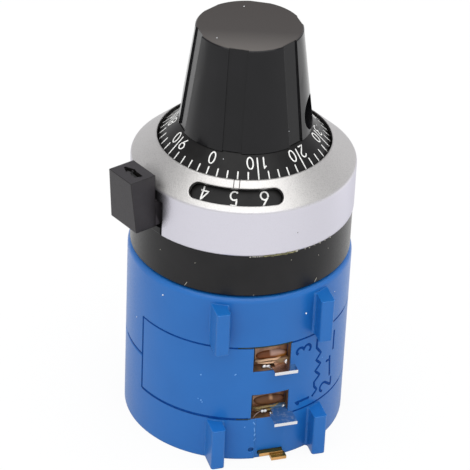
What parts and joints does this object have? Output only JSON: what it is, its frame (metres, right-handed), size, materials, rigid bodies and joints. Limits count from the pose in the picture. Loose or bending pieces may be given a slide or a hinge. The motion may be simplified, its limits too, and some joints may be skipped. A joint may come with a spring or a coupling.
{
  "type": "rotary potentiometer",
  "caption": "Multi-turn wirewound potentiometer with a moulded blue housing, side solder lugs and a turns-counting dial with a fluted knob and a locking lever.",
  "frame": {"origin": "middle of the housing's flat rear face", "axes": "+Z along the shaft from the housing to the knob, -Y the way the solder lugs and flat ribs point"},
  "size_m": [0.0252, 0.0241, 0.0427],
  "materials": {
    "housing_blue": "moulded thermoset in mid blue, satin",
    "lacquered_core": "brown lacquer over the winding's sleeve",
    "resistance_wire": "fine resistance wire wound on a lacquered copper core",
    "tinned_lug": "tin plate",
    "brass_lug": "sheared brass strip, thin tin plate",
    "contact_brass": "turned and stamped brass",
    "plated_steel": "nickel plate",
    "spring_steel": "blued spring steel",
    "dial_black": "moulded black, satin",
    "satin_cover": "satin silver with a fine grain",
    "knob_black": "moulded black, glossy side and satin top",
    "scale_black": "matte black with white printed scale",
    "lever_black": "moulded black, fine texture",
    "rotor_nylon": "natural moulded nylon",
    "blackened_steel": "black oxide"
  },
  "bodies": {
    "housing": {"rear_shell": "housing_blue", "front_shell": "housing_blue", "terminal_panel": "housing_blue", "winding_sleeve": "lacquered_core", "resistance_winding": "resistance_wire", "terminal_1": "tinned_lug", "terminal_2": "brass_lug", "terminal_3": "tinned_lug", "collector_ring": "contact_brass", "bushing": "plated_steel", "lock_washer": "plated_steel", "panel_nut": "plated_steel", "dial_base": "dial_black", "dial_cover": "satin_cover", "brake_band": "spring_steel"},
    "knob_and_rotor": {"shaft": "plated_steel", "retaining_ring": "spring_steel", "rotor": "rotor_nylon", "pickup_brush": "contact_brass", "thrust_washer": "rotor_nylon", "knob_insert": "contact_brass", "knob": "knob_black", "scale_skirt": "scale_black", "set_screws": "blackened_steel", "pinion_pin": "plated_steel"},
    "count_ring": {"counting_ring": "scale_black"},
    "planet_pinion": {"pinion": "rotor_nylon"},
    "carriage": {"contact_carriage": "rotor_nylon", "wiper_spring": "contact_brass"},
    "lever": {"brake_lever": "lever_black"}
  },
  "joints": [
    {"name": "knob_turn", "type": "hinge", "parent": "housing", "child": "knob_and_rotor", "pos_m": [0, 0, 0.0267], "axis": [0, 0, 1], "range_deg": [-1778.4, 1821.6]},
    {"name": "counting_ring_turn", "type": "hinge", "parent": "housing", "child": "count_ring", "pos_m": [0, 0, 0.028], "axis": [0, 0, 1], "range_deg": [-88.95, 91.1]},
    {"name": "pinion_spin", "type": "hinge", "parent": "knob_and_rotor", "child": "planet_pinion", "pos_m": [0.0053, 0.00282, 0.028], "axis": [0, 0, 1], "continuous": true},
    {"name": "carriage_travel", "type": "slide", "parent": "knob_and_rotor", "child": "carriage", "axis": [0, 0, 1], "range_m": [-0.00582, 0.00568]},
    {"name": "brake_lever_swing", "type": "hinge", "parent": "housing", "child": "lever", "pos_m": [0, 0, 0.0267], "axis": [0, 0, 1], "range_deg": [-20, 0]}
  ],
  "couplings": [
    {"joint": "counting_ring_turn", "follows": "knob_turn", "ratio": 0.05},
    {"joint": "pinion_spin", "follows": "knob_turn", "ratio": -4.75},
    {"joint": "carriage_travel", "follows": "knob_turn", "m_per_rad": -0.00018303}
  ]
}
